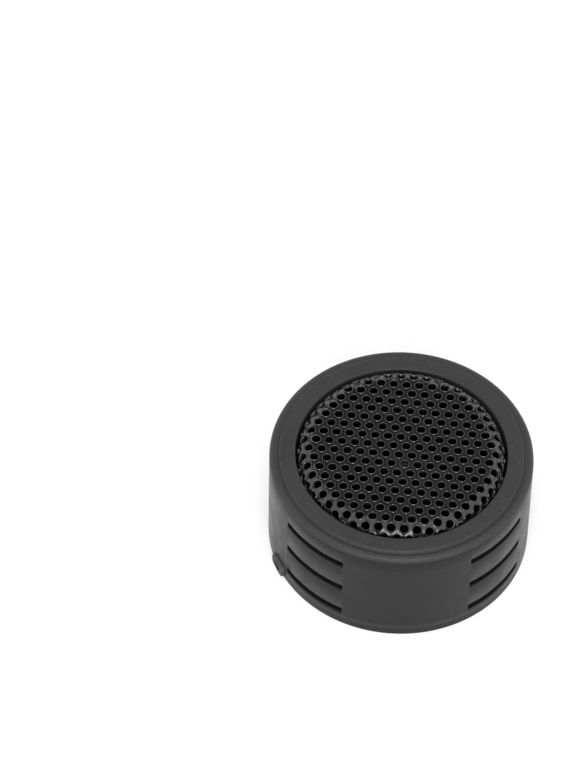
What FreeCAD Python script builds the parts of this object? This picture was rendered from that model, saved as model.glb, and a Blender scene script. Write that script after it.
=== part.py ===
"""Surface-mount dome tweeter for a car, 48 mm across, built as it comes apart on a bench.

Part frame: origin at the centre of the underside, +Z out through the grille, and the plain
stretch of wall between two groups of side slots faces -Y.  All lengths are in millimetres.
"""
import FreeCAD, Part
import math
import os
import re
import Sketcher
from FreeCAD import Placement, Rotation, Vector

# ----------------------------------------------------------------- driving dimensions

DIMENSIONS = [
    # the closed can
    ("outer_radius", 24.0, "outside of the housing and of the bezel"),
    ("bezel_top", 23.18, "flat rim of the bezel above the underside"),
    ("bezel_bottom", 21.83, "lower edge of the bezel's outer band"),
    ("bezel_opening", 19.27, "radius of the round opening"),
    ("bezel_inner_wall", 1.3, "thickness of the bezel's inner wall"),
    ("bezel_flat", 22.3, "radius where the bezel's flat rim ends"),
    ("bezel_valley", 22.65, "radius of the shallow valley near the bezel's edge"),
    ("bezel_valley_depth", 0.5, "depth of that valley below the rim"),
    ("bezel_bead", 23.05, "inner radius of the bead outside the valley"),
    ("bezel_bead_drop", 0.38, "top of the bead below the rim"),
    ("spigot_outer", 22.15, "outside of the bezel's spigot, which plugs the housing"),
    ("spigot_wall", 1.1, "thickness of the spigot"),
    ("spigot_bottom", 19.6, "lower end of the spigot"),
    ("housing_top", 21.75, "upper edge of the housing wall"),
    ("housing_bottom", 1.75, "lower edge of the housing wall"),
    ("housing_wall", 1.6, "thickness of the housing wall"),
    ("housing_break", 0.06, "broken edge at both ends of the housing wall"),
    ("slot_sweep", 32.6, "angle of one side slot"),
    ("slot_height", 1.44, "height of one side slot"),
    ("slot_first", 3.9, "middle of the lowest slot"),
    ("slot_pitch", 6.97, "from one slot up to the next"),
    ("slot_azimuth", 45.0, "azimuth of the first group of slots"),
    ("shelf_bottom", 14.6, "underside of the shelf that carries the driver"),
    ("shelf_top", 16.4, "top of that shelf"),
    ("shelf_opening", 17.6, "inside radius of the shelf"),
    ("post_circle", 19.6, "radius of the circle of screw posts"),
    ("post_inner", 17.75, "inner face of a post, from the axis"),
    ("post_half_width", 2.0, "half the width of a screw post"),
    ("post_corner", 0.8, "bevel on the inner corners of a post"),
    ("pilot_radius", 0.9, "hole in a post that the screws cut into"),
    # underside
    ("cover_radius", 23.96, "outside of the rear cover"),
    ("cover_break", 0.16, "broken lower edge of the rear cover"),
    ("pad_radius", 16.5, "adhesive pad"),
    ("pad_depth", 0.8, "thickness of the adhesive pad and depth of its recess"),
    ("recess_radius", 16.7, "recess for the adhesive pad"),
    ("counterbore_radius", 2.1, "seat of a cover screw's head"),
    ("counterbore_depth", 1.0, "depth of that seat"),
    ("clearance_hole", 1.1, "hole round a screw's shank"),
    ("grommet_azimuth", 201.5, "azimuth of the cable grommet"),
    ("grommet_width", 4.4, "width of the grommet round the can"),
    ("grommet_low", 0.3, "underside of the grommet"),
    ("grommet_high", 3.0, "top of the grommet"),
    ("grommet_inner", 21.0, "inner end of the grommet, from the axis"),
    ("grommet_outer", 24.55, "outer end of the grommet, from the axis"),
    ("grommet_corner", 0.9, "rounded edges of the grommet"),
    ("cable_bore", 1.0, "radius of the hole that the cable leaves by"),
    ("channel_inner", 18.0, "inner end of the grommet's channel in the cover"),
    ("channel_slack", 0.1, "play round the grommet in its channel"),
    # grille
    ("grille_top", 24.15, "flat top of the perforated pan"),
    ("grille_gauge", 0.5, "thickness of the grille's sheet"),
    ("grille_radius", 18.95, "outside of the pan's side"),
    ("grille_bend", 2.65, "outer radius of the pan's bend"),
    ("grille_flange", 20.4, "outside of the pan's flange"),
    ("grille_seat", 18.4, "underside of the pan's flange"),
    ("hole_radius", 0.77, "one hole of the perforation"),
    ("hole_pitch", 2.342, "hole to hole along a row"),
    ("hole_row_angle", -7.97, "turn of the rows from the X axis"),
    ("hole_first_x", -0.58, "first hole, X"),
    ("hole_first_y", -1.18, "first hole, Y"),
    ("hole_field", 15.5, "holes have their centres inside this radius"),
    # driver
    ("gasket_inner", 17.8, "inside of the foam gasket"),
    ("flange_bottom", 17.0, "underside of the faceplate's flange"),
    ("flange_top", 18.4, "top of the faceplate's flange"),
    ("flange_radius", 21.8, "outside of the faceplate"),
    ("horn_mouth", 14.9, "wide end of the faceplate's short horn"),
    ("horn_throat", 12.3, "narrow end of that horn"),
    ("horn_low", 17.3, "height of the narrow end"),
    ("ledge", 16.55, "ledge that presses on the diaphragm's edge"),
    ("collar_radius", 14.4, "outside of the collar round the magnet cup"),
    ("collar_bore", 13.03, "inside of that collar"),
    ("collar_bottom", 12.9, "lower end of the collar"),
    ("lead_slot", 1.2, "width of the collar's slots for the coil's leads"),
    ("cup_radius", 13.0, "outside of the magnet cup"),
    ("cup_bore", 10.7, "inside of the cup, the outer side of the magnet gap"),
    ("cup_bottom", 8.5, "underside of the cup"),
    ("cup_floor", 10.5, "top of the cup's floor"),
    ("cup_rim", 16.0, "top of the cup's wall"),
    ("cup_break", 0.5, "broken lower edge of the cup"),
    ("magnet_radius", 9.0, "magnet"),
    ("magnet_height", 3.0, "magnet"),
    ("pole_radius", 9.3, "pole plate, the inner side of the magnet gap"),
    ("pole_height", 2.0, "pole plate"),
    ("felt_radius", 8.4, "damping felt"),
    ("felt_height", 0.8, "damping felt"),
    ("spacer_inner", 11.6, "inside of the spacer ring"),
    ("spacer_height", 0.37, "spacer ring"),
    ("spacer_notch", 0.8, "width of the notches in its underside for the coil's leads"),
    ("spacer_notch_depth", 0.28, "depth of those notches"),
    # moving part
    ("former_inner", 9.7, "inside of the coil's former"),
    ("former_outer", 9.84, "outside of the former"),
    ("former_bottom", 12.7, "lower end of the former"),
    ("former_top", 16.35, "upper end of the former, where the dome is glued"),
    ("coil_outer", 10.22, "outside of the winding"),
    ("coil_bottom", 13.3, "lower end of the winding"),
    ("coil_top", 15.7, "upper end of the winding"),
    ("dome_radius", 9.8, "foot of the dome"),
    ("dome_height", 3.6, "dome"),
    ("dome_skin", 0.2, "thickness of the dome"),
    ("roll_middle", 11.05, "radius of the middle of the surround's roll"),
    ("roll_outer", 0.9, "outside radius of the roll's arch"),
    ("roll_skin", 0.18, "thickness of the surround"),
    ("surround_inner", 9.88, "inner edge of the surround"),
    ("surround_outer", 12.95, "outer edge of the surround"),
    # wiring
    ("board_near", 14.6, "inner face of the terminal board, in Y"),
    ("board_thick", 1.0, "terminal board"),
    ("board_half_width", 5.0, "terminal board"),
    ("board_bottom", 10.6, "lower edge of the terminal board"),
    ("tag_thick", 0.5, "solder tag"),
    ("tag_half_width", 1.2, "solder tag"),
    ("tag_offset", 3.0, "solder tags and rivets, either side of the middle"),
    ("tag_bottom", 8.6, "lower end of a solder tag"),
    ("tag_top", 13.8, "upper end of a solder tag"),
    ("tag_eye", 0.5, "hole for the wire in a solder tag"),
    ("tag_eye_height", 9.6, "height of that hole"),
    ("rivet_height", 12.6, "rivets that hold the tags"),
    ("rivet_bore", 0.45, "hollow rivet, inside"),
    ("rivet_radius", 0.75, "hollow rivet, outside"),
    ("rivet_flange", 1.0, "hollow rivet, rolled ends"),
    ("rivet_flange_thick", 0.18, "hollow rivet, rolled ends"),
    ("capacitor_radius", 2.5, "capacitor can"),
    ("capacitor_half_length", 5.5, "capacitor can"),
    ("capacitor_offset", 3.0, "capacitor's axis, towards -Y"),
    ("capacitor_height", 4.65, "capacitor's axis above the underside"),
    ("capacitor_lead_length", 3.1, "capacitor's leads"),
    ("capacitor_lead_radius", 0.25, "capacitor's leads"),
    ("capacitor_lead_spacing", 2.0, "capacitor's leads"),
    ("cradle_length", 8.0, "foam pad under the capacitor"),
    ("cradle_width", 3.2, "foam pad under the capacitor"),
    ("wire_radius", 0.45, "insulated wire"),
    ("wire_bend", 1.6, "tightest bend of an insulated wire"),
    ("lead_radius", 0.13, "braided lead of the coil"),
    ("lead_bend", 0.5, "bend of a braided lead"),
    # screws
    ("screw_shank", 0.88, "both kinds of screw"),
    ("screw_point", 0.7, "length of the screw's point"),
    ("cover_head", 1.9, "cover screw's pan head"),
    ("cover_head_low", 0.1, "underside of that head"),
    ("cover_screw_end", 8.2, "tip of a cover screw"),
    ("driver_head", 1.8, "driver screw's countersunk head"),
    ("driver_screw_end", 10.8, "tip of a driver screw"),
    ("cross_half_length", 1.0, "cross recess in a screw head"),
    ("cross_half_width", 0.24, "cross recess in a screw head"),
    ("cross_depth", 0.5, "cross recess in a screw head"),
]

SLOT_ROWS = 3
QUARTERS = 4
FULL_TURN = 360.0

doc = FreeCAD.newDocument("tweeter")
sheet = doc.addObject("Spreadsheet::Sheet", "dims")
for row, (alias, number, meaning) in enumerate(DIMENSIONS, start=1):
    sheet.set("A%d" % row, alias)
    sheet.set("B%d" % row, str(number))
    sheet.set("C%d" % row, meaning)
    sheet.setAlias("B%d" % row, alias)
doc.recompute()

NODES = []


# ----------------------------------------------------------------- ways of working

def linked(text):
    """An expression on the sheet's names, written so that other objects can follow it. A name
    with a bracket behind it is a function, and stays as it is."""
    return re.sub(r"[a-z][a-z_]*\b(?!\()", lambda name: "dims." + name.group(0), str(text))


def size(text):
    """The present value of an expression on the sheet's names."""
    return float(sheet.evalExpression(linked(text)))


def new_body(label, several_solids=False):
    body = doc.addObject("PartDesign::Body", label)
    body.AllowCompound = several_solids
    NODES.append(body)
    return body


def keep_shape(label, shape):
    """A node whose shape no body or primitive gives."""
    feature = doc.addObject("Part::Feature", label)
    feature.Shape = shape
    NODES.append(feature)
    return feature


def origin_feature(body, role):
    for feature in body.Origin.OriginFeatures:
        if feature.Role == role:
            return feature
    raise ValueError("no origin feature " + role)


def new_sketch(body, name, role="XZ_Plane", turn=None, shift=(0, 0, 0)):
    """A sketch on one of the body's own planes: turned in degrees about its own upright, then
    shifted by expressions along its own turned X, its Y and its turned normal."""
    sketch = body.newObject("Sketcher::SketchObject", body.Name + "_" + name)
    sketch.AttachmentSupport = [(origin_feature(body, role), "")]
    sketch.MapMode = "FlatFace"
    if turn is not None:
        sketch.AttachmentOffset = Placement(Vector(0, 0, 0), Rotation(Vector(0, 1, 0), size(turn)))
    if turn is not None and any(shift):
        across, up, ahead = shift
        shift = ("(%s) * cos(%s) + (%s) * sin(%s)" % (across, turn, ahead, turn), up,
                 "(%s) * cos(%s) - (%s) * sin(%s)" % (ahead, turn, across, turn))
    for letter, expression in zip("xyz", shift):
        if expression != 0:
            sketch.setExpression("AttachmentOffset.Base." + letter, linked(expression))
    return sketch


def tie_point(sketch, line, end, across, up):
    """Holds one point of a sketch at the two expressions."""
    for kind, on_axis, expression in (("DistanceX", -2, across), ("DistanceY", -1, up)):
        if str(expression) == "0":
            sketch.addConstraint(Sketcher.Constraint("PointOnObject", line, end, on_axis))
            continue
        number = sketch.addConstraint(
            Sketcher.Constraint(kind, -1, 1, line, end, size(expression)))
        name = "%s%d" % (kind, number)
        sketch.renameConstraint(number, name)
        sketch.setExpression("Constraints." + name, linked(expression))


def outline(sketch, corners):
    """A closed outline of straight lines through corners, each a pair of expressions."""
    points = [Vector(size(across), size(up), 0) for across, up in corners]
    first = sketch.GeometryCount
    for start, end in zip(points, points[1:] + points[:1]):
        sketch.addGeometry(Part.LineSegment(start, end), False)
    last = len(corners) - 1
    for step in range(len(corners)):
        following = first + (step + 1 if step < last else 0)
        sketch.addConstraint(Sketcher.Constraint("Coincident", first + step, 2, following, 1))
    for step, (across, up) in enumerate(corners):
        tie_point(sketch, first + step, 1, across, up)


def rectangle(sketch, left, right, low, high):
    outline(sketch, [(left, low), (right, low), (right, high), (left, high)])


def circle(sketch, across, up, radius):
    number = sketch.GeometryCount
    centre = Vector(size(across), size(up), 0)
    sketch.addGeometry(Part.Circle(centre, Vector(0, 0, 1), size(radius)), False)
    tie_point(sketch, number, 3, across, up)
    tied = sketch.addConstraint(Sketcher.Constraint("Radius", number, size(radius)))
    sketch.renameConstraint(tied, "radius%d" % tied)
    sketch.setExpression("Constraints.radius%d" % tied, linked(radius))


def add_feature(body, kind, name, profile, **settings):
    """Adds a sketch-based feature, and stops if it changed nothing."""
    before = body.Shape.Volume if body.Tip and not body.Shape.isNull() else 0.0
    feature = body.newObject("PartDesign::" + kind, body.Name + "_" + name)
    feature.Profile = profile
    for key, setting in settings.items():
        if key.endswith("_expression"):
            feature.setExpression(key[:-len("_expression")], linked(setting))
        else:
            setattr(feature, key, setting)
    profile.Visibility = False
    doc.recompute()
    if abs(body.Shape.Volume - before) < 1e-4:
        raise RuntimeError(feature.Name + " changed nothing")
    return feature


def revolve(body, profile, name="turned", axis="V_Axis"):
    return add_feature(body, "Revolution", name, profile, ReferenceAxis=(profile, [axis]), Angle=FULL_TURN)


def polar_pattern(body, originals, name, count=QUARTERS):
    pattern = body.newObject("PartDesign::PolarPattern", body.Name + "_" + name)
    pattern.Originals = originals
    pattern.Axis = (origin_feature(body, "Z_Axis"), [""])
    pattern.Angle = FULL_TURN
    pattern.Occurrences = count
    body.Tip = pattern
    doc.recompute()
    return pattern


def round_edges(body, name, radius, wanted, kind="Fillet"):
    """Rounds or bevels the circular edges named by (radius, height) pairs of expressions."""
    targets = [(size(across), size(up)) for across, up in wanted]
    names = []
    for number, edge in enumerate(body.Shape.Edges, start=1):
        curve = edge.Curve
        if not isinstance(curve, Part.Circle):
            continue
        for across, up in targets:
            if abs(curve.Radius - across) < 1e-3 and abs(curve.Center.z - up) < 1e-3:
                names.append("Edge%d" % number)
    if len(names) < len(targets):
        raise RuntimeError("%s: only %d of %d edges found" % (name, len(names), len(targets)))
    feature = body.newObject("PartDesign::" + kind, body.Name + "_" + name)
    feature.Base = (body.Tip if body.Tip != feature else feature.BaseFeature, names)
    if kind == "Fillet":
        feature.setExpression("Radius", linked(radius))
    else:
        feature.setExpression("Size", linked(radius))
    doc.recompute()
    return feature


def ring(label, inner, outer, low, high):
    body = new_body(label)
    section = new_sketch(body, "section")
    rectangle(section, inner, outer, low, high)
    revolve(body, section)
    return body


def disc(label, radius, low, height):
    cylinder = doc.addObject("Part::Cylinder", label)
    cylinder.setExpression("Radius", linked(radius))
    cylinder.setExpression("Height", linked(height))
    if low != "0":
        cylinder.setExpression("Placement.Base.z", linked(low))
    NODES.append(cylinder)
    return cylinder


def round_the_can(radius, azimuth, height, sideways=0.0):
    """A point given by radius and azimuth, shifted sideways along the tangent."""
    angle = math.radians(azimuth)
    outward = Vector(math.cos(angle), math.sin(angle), 0)
    tangent = Vector(-math.sin(angle), math.cos(angle), 0)
    return outward * radius + tangent * sideways + Vector(0, 0, height)


def tube_along(points, radius, bend):
    """A round wire along straight runs joined by arcs of the given bend radius."""
    edges = []
    run_start = points[0]
    for before, corner, after in zip(points, points[1:], points[2:]):
        arriving = (corner - before).normalize()
        leaving = (after - corner).normalize()
        half_turn = math.acos(max(-1.0, min(1.0, arriving.dot(leaving)))) / 2
        reach = bend * math.tan(half_turn)
        arc_start = corner - arriving * reach
        arc_end = corner + leaving * reach
        inward = (leaving - arriving).normalize()
        middle = corner + inward * (bend / math.cos(half_turn) - bend)
        edges.append(Part.makeLine(run_start, arc_start))
        edges.append(Part.Arc(arc_start, middle, arc_end).toShape())
        run_start = arc_end
    edges.append(Part.makeLine(run_start, points[-1]))
    spine = Part.Wire(edges)
    section = Part.Wire(Part.makeCircle(radius, points[0], points[1] - points[0]))
    return spine.makePipeShell([section], True, True)


# ----------------------------------------------------------------- housing

def make_housing():
    """Black moulded drum: slotted wall, shelf for the driver, and four screw posts."""
    body = new_body("housing")
    inside = "outer_radius - housing_wall"
    wall = new_sketch(body, "section")
    outline(wall, [
        (inside, "housing_bottom"), ("outer_radius", "housing_bottom"),
        ("outer_radius", "housing_top"), (inside, "housing_top"),
        (inside, "shelf_top"), ("shelf_opening", "shelf_top"),
        ("shelf_opening", "shelf_bottom"), (inside, "shelf_bottom"),
    ])
    revolve(body, wall)
    round_edges(body, "broken_edges", "housing_break",
                [("outer_radius", "housing_bottom"), ("outer_radius", "housing_top")], kind="Chamfer")

    slots = new_sketch(body, "slot_sections", turn="slot_azimuth")
    for level in range(SLOT_ROWS):
        middle = "slot_first + %d * slot_pitch" % level
        rectangle(slots, inside + " - 0.3", "outer_radius + 1",
                  middle + " - slot_height / 2", middle + " + slot_height / 2")
    cut = add_feature(body, "Groove", "slots", slots, ReferenceAxis=(slots, ["V_Axis"]),
                      Midplane=True, Angle_expression="slot_sweep")
    polar_pattern(body, [cut], "slot_groups")

    post = new_sketch(body, "post_section", role="XY_Plane", shift=(0, 0, "housing_bottom"))
    outline(post, [
        ("post_inner", "0 - post_half_width + post_corner"),
        ("post_inner + post_corner", "0 - post_half_width"),
        (inside + " + 0.5", "0 - post_half_width"), (inside + " + 0.5", "post_half_width"),
        ("post_inner + post_corner", "post_half_width"),
        ("post_inner", "post_half_width - post_corner"),
    ])
    raised = add_feature(body, "Pad", "post", post, Length_expression="shelf_bottom - housing_bottom + 0.2")
    polar_pattern(body, [raised], "posts")

    pilot = new_sketch(body, "pilot_section", role="XY_Plane", shift=(0, 0, "shelf_top"))
    circle(pilot, "post_circle", "0", "pilot_radius")
    drilled = add_feature(body, "Pocket", "pilot", pilot, Length_expression="shelf_top - housing_bottom")
    polar_pattern(body, [drilled], "pilots")

    notch = new_sketch(body, "grommet_section", role="YZ_Plane", turn="grommet_azimuth")
    rectangle(notch, "0 - grommet_width / 2 - channel_slack", "grommet_width / 2 + channel_slack",
              "housing_bottom - 1", "grommet_high + channel_slack")
    add_feature(body, "Pocket", "grommet_notch", notch, Reversed=True, Length_expression="outer_radius + 2")


def make_front_bezel():
    """Black moulded ring: flat rim, shallow valley and bead at its edge, spigot below."""
    body = new_body("front_bezel")
    inner_wall = "bezel_opening + bezel_inner_wall"
    spigot_inside = "spigot_outer - spigot_wall"
    web = "bezel_bottom - 0.25"
    bead_top = "bezel_top - bezel_bead_drop"
    section = new_sketch(body, "section")
    outline(section, [
        ("bezel_opening", "grille_seat + grille_gauge"), (inner_wall, "grille_seat + grille_gauge"),
        (inner_wall, web), (spigot_inside, web),
        (spigot_inside, "spigot_bottom"), ("spigot_outer", "spigot_bottom"),
        ("spigot_outer", "bezel_bottom"), ("outer_radius", "bezel_bottom"),
        ("outer_radius", bead_top), ("bezel_bead", bead_top),
        ("bezel_valley", "bezel_top - bezel_valley_depth"), ("bezel_flat", "bezel_top"),
        ("bezel_opening", "bezel_top"),
    ])
    revolve(body, section)
    round_edges(body, "outer_round", "0.88", [("outer_radius", bead_top)])
    round_edges(body, "opening_round", "0.25", [("bezel_opening", "bezel_top")])
    round_edges(body, "shoulder_round", "0.5", [("bezel_flat", "bezel_top")])
    round_edges(body, "bottom_break", "0.06", [("outer_radius", "bezel_bottom")], kind="Chamfer")


def make_grille():
    """Black steel pan, perforated in staggered rows, clamped by its flange under the bezel."""
    body = new_body("grille")
    inside = "grille_radius - grille_gauge"
    section = new_sketch(body, "section")
    outline(section, [
        ("0", "grille_top"), ("grille_radius", "grille_top"),
        ("grille_radius", "grille_seat + grille_gauge"), ("grille_flange", "grille_seat + grille_gauge"),
        ("grille_flange", "grille_seat"), (inside, "grille_seat"),
        (inside, "grille_top - grille_gauge"), ("0", "grille_top - grille_gauge"),
    ])
    revolve(body, section)
    round_edges(body, "outer_bend", "grille_bend", [("grille_radius", "grille_top")])
    round_edges(body, "inner_bend", "grille_bend - grille_gauge", [(inside, "grille_top - grille_gauge")])

    holes = new_sketch(body, "perforation", role="XY_Plane", shift=(0, 0, "grille_top"))
    pitch = size("hole_pitch")
    turn = Rotation(Vector(0, 0, 1), size("hole_row_angle"))
    first = Vector(size("hole_first_x"), size("hole_first_y"), 0)
    reach = int(size("hole_field") / pitch) + 3
    circles = []
    for column in range(-reach, reach + 1):
        for line in range(-reach, reach + 1):
            along = pitch * (column + line / 2)
            across = pitch * line * math.sqrt(3) / 2
            centre = first + turn.multVec(Vector(along, across, 0))
            if centre.Length <= size("hole_field"):
                circles.append(Part.Circle(centre, Vector(0, 0, 1), size("hole_radius")))
    holes.addGeometry(circles, False)
    add_feature(body, "Pocket", "holes", holes, Length_expression="grille_gauge * 2")


# ----------------------------------------------------------------- underside

def make_rear_cover():
    """Moulded disc that closes the housing, with a recess for the adhesive pad."""
    body = new_body("rear_cover")
    section = new_sketch(body, "section")
    outline(section, [
        ("0", "pad_depth"), ("recess_radius", "pad_depth"), ("recess_radius", "0"),
        ("cover_radius - cover_break", "0"), ("cover_radius", "cover_break"),
        ("cover_radius", "housing_bottom"), ("0", "housing_bottom"),
    ])
    revolve(body, section)

    seat = new_sketch(body, "seat_section", role="XY_Plane")
    circle(seat, "post_circle", "0", "counterbore_radius")
    seated = add_feature(body, "Pocket", "seat", seat, Reversed=True, Length_expression="counterbore_depth")
    shank = new_sketch(body, "shank_section", role="XY_Plane")
    circle(shank, "post_circle", "0", "clearance_hole")
    bored = add_feature(body, "Pocket", "shank_hole", shank, Reversed=True, Length_expression="housing_bottom * 2")
    polar_pattern(body, [seated, bored], "screw_holes")

    channel = new_sketch(body, "channel_section", role="YZ_Plane", turn="grommet_azimuth",
                         shift=(0, 0, "channel_inner"))
    rectangle(channel, "0 - grommet_width / 2 - channel_slack", "grommet_width / 2 + channel_slack",
              "grommet_low", "housing_bottom + 1")
    add_feature(body, "Pocket", "channel", channel, Reversed=True,
                Length_expression="outer_radius - channel_inner + 1")


def make_cable_grommet():
    """Rubber bush between the housing and the cover, with the hole that the cable leaves by."""
    body = new_body("cable_grommet")
    block = new_sketch(body, "section", role="YZ_Plane", turn="grommet_azimuth",
                       shift=(0, 0, "grommet_inner"))
    half = "grommet_width / 2"
    corner = "grommet_corner"
    outline(block, [
        ("0 - %s + %s" % (half, corner), "grommet_low"), ("%s - %s" % (half, corner), "grommet_low"),
        (half, "grommet_low + " + corner), (half, "grommet_high - " + corner),
        ("%s - %s" % (half, corner), "grommet_high"), ("0 - %s + %s" % (half, corner), "grommet_high"),
        ("0 - " + half, "grommet_high - " + corner), ("0 - " + half, "grommet_low + " + corner),
    ])
    circle(block, "0", "(grommet_low + grommet_high) / 2", "cable_bore")
    add_feature(body, "Pad", "block", block, Length_expression="grommet_outer - grommet_inner")


def make_cover_screws():
    """Four self-tapping pan-head screws, driven from below into the posts."""
    body = new_body("cover_screws", several_solids=True)
    section = new_sketch(body, "section", shift=("post_circle", 0, 0))
    outline(section, [
        ("0", "cover_head_low"), ("cover_head * 0.75", "cover_head_low"),
        ("cover_head", "cover_head_low + 0.35"), ("cover_head", "counterbore_depth"),
        ("screw_shank", "counterbore_depth"), ("screw_shank", "cover_screw_end - screw_point"),
        ("0", "cover_screw_end"),
    ])
    turned = revolve(body, section)
    cross = new_sketch(body, "cross_section", role="XY_Plane", shift=("post_circle", 0, "cover_head_low"))
    long, narrow = "cross_half_length", "cross_half_width"
    outline(cross, [
        (narrow, narrow), (long, narrow), (long, "0 - " + narrow), (narrow, "0 - " + narrow),
        (narrow, "0 - " + long), ("0 - " + narrow, "0 - " + long), ("0 - " + narrow, "0 - " + narrow),
        ("0 - " + long, "0 - " + narrow), ("0 - " + long, narrow), ("0 - " + narrow, narrow),
        ("0 - " + narrow, long), (narrow, long),
    ])
    recess = add_feature(body, "Pocket", "cross", cross, Reversed=True, Length_expression="cross_depth")
    polar_pattern(body, [turned, recess], "four")


# ----------------------------------------------------------------- driver, fixed pieces

def make_driver_gasket():
    """Foam ring between the shelf and the faceplate, with holes for the driver's screws."""
    body = ring("driver_gasket", "gasket_inner", "flange_radius - 0.2", "shelf_top", "flange_bottom")
    hole = new_sketch(body, "hole_section", role="XY_Plane", shift=(0, 0, "flange_bottom"))
    circle(hole, "post_circle", "0", "clearance_hole + 0.2")
    cut = add_feature(body, "Pocket", "hole", hole, Length_expression="(flange_bottom - shelf_top) * 2")
    polar_pattern(body, [cut], "holes")


def make_driver_faceplate():
    """Moulded front of the driver: flange, short horn, and collar pressed round the cup."""
    body = new_body("driver_faceplate")
    section = new_sketch(body, "section")
    outline(section, [
        ("horn_throat", "ledge"), ("horn_throat", "horn_low"), ("horn_mouth", "flange_top"),
        ("flange_radius", "flange_top"), ("flange_radius", "flange_bottom"),
        ("collar_radius", "flange_bottom"), ("collar_radius", "collar_bottom"),
        ("collar_bore", "collar_bottom"), ("collar_bore", "ledge"),
    ])
    revolve(body, section)

    seat = new_sketch(body, "screw_seat", shift=("post_circle", 0, 0))
    outline(seat, [
        ("0", "flange_top + 0.2"), ("driver_head + 0.25", "flange_top + 0.2"),
        ("clearance_hole", "flange_top - driver_head + clearance_hole - 0.05"),
        ("clearance_hole", "flange_bottom - 0.2"), ("0", "flange_bottom - 0.2"),
    ])
    cut = add_feature(body, "Groove", "seat", seat, ReferenceAxis=(seat, ["V_Axis"]), Angle=FULL_TURN)
    polar_pattern(body, [cut], "seats")

    for side, name in ((-1, "left"), (1, "right")):
        slot = new_sketch(body, name + "_lead_section", role="XY_Plane", shift=(0, 0, "ledge"))
        middle = "%d * tag_offset" % side
        rectangle(slot, middle + " - lead_slot / 2", middle + " + lead_slot / 2",
                  "collar_bore - 1", "collar_radius + 0.5")
        add_feature(body, "Pocket", name + "_lead_slot", slot, Length_expression="ledge - collar_bottom")


def make_driver_screws():
    """Four countersunk screws, flush with the faceplate and hidden under the grille's flange."""
    body = new_body("driver_screws", several_solids=True)
    section = new_sketch(body, "section", shift=("post_circle", 0, 0))
    outline(section, [
        ("0", "flange_top"), ("driver_head", "flange_top"),
        ("screw_shank", "flange_top - driver_head + screw_shank"),
        ("screw_shank", "driver_screw_end + screw_point"), ("0", "driver_screw_end"),
    ])
    turned = revolve(body, section)
    polar_pattern(body, [turned], "four")


def make_magnet_system():
    """Steel cup, neodymium disc, steel pole plate and felt, stacked and glued."""
    cup = new_body("yoke_cup")
    section = new_sketch(cup, "section")
    outline(section, [
        ("0", "cup_bottom"), ("cup_radius - cup_break", "cup_bottom"),
        ("cup_radius", "cup_bottom + cup_break"), ("cup_radius", "cup_rim"),
        ("cup_bore", "cup_rim"), ("cup_bore", "cup_floor"), ("0", "cup_floor"),
    ])
    revolve(cup, section)
    disc("magnet", "magnet_radius", "cup_floor", "magnet_height")
    disc("pole_plate", "pole_radius", "cup_floor + magnet_height", "pole_height")
    disc("damping_felt", "felt_radius", "cup_floor + magnet_height + pole_height", "felt_height")


def make_diaphragm_spacer():
    """Fibre ring that lifts the diaphragm's edge off the cup, notched for the coil's leads."""
    body = ring("diaphragm_spacer", "spacer_inner", "surround_outer", "cup_rim", "cup_rim + spacer_height")
    notches = new_sketch(body, "notch_section", role="XY_Plane", shift=(0, 0, "cup_rim"))
    for side in (-1, 1):
        middle = "%d * tag_offset" % side
        rectangle(notches, middle + " - spacer_notch / 2", middle + " + spacer_notch / 2",
                  "spacer_inner - 1.5", "surround_outer + 0.5")
    add_feature(body, "Pocket", "notches", notches, Reversed=True, Length_expression="spacer_notch_depth")


def make_surround():
    """Coated cloth roll that lets the dome move: an arch between two flat edges."""
    foot = size("cup_rim + spacer_height")
    skin = size("roll_skin")
    middle = size("roll_middle")
    outside = size("roll_outer")
    centre = Vector(0, 0, foot)
    roll = Part.makeTorus(middle, outside, centre).cut(Part.makeTorus(middle, outside - skin, centre))
    above = Part.makeCylinder(middle + 3, 3, centre)
    arch = roll.common(above)

    def flat_ring(inner, outer):
        return Part.makeCylinder(outer, skin, centre).cut(Part.makeCylinder(inner, skin, centre))

    outer_edge = flat_ring(middle + outside - skin / 2, size("surround_outer"))
    inner_edge = flat_ring(size("surround_inner"), middle - outside + skin / 2)
    keep_shape("surround", arch.fuse([outer_edge, inner_edge]).removeSplitter())


# ----------------------------------------------------------------- driver, moving pieces

def make_dome():
    """Thin domed diaphragm, glued to the top of the coil's former."""
    foot = size("former_top")
    radius = size("dome_radius")
    height = size("dome_height")
    skin = size("dome_skin")
    ball = (radius ** 2 + height ** 2) / (2 * height)
    centre = Vector(0, 0, foot + height - ball)
    shell = Part.makeSphere(ball, centre).cut(Part.makeSphere(ball - skin, centre))
    keep_shape("dome", shell.common(Part.makeCylinder(radius, height + 1, Vector(0, 0, foot))))


def make_voice_coil():
    ring("voice_coil_former", "former_inner", "former_outer", "former_bottom", "former_top")
    ring("voice_coil", "former_outer", "coil_outer", "coil_bottom", "coil_top")


# ----------------------------------------------------------------- wiring

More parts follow.
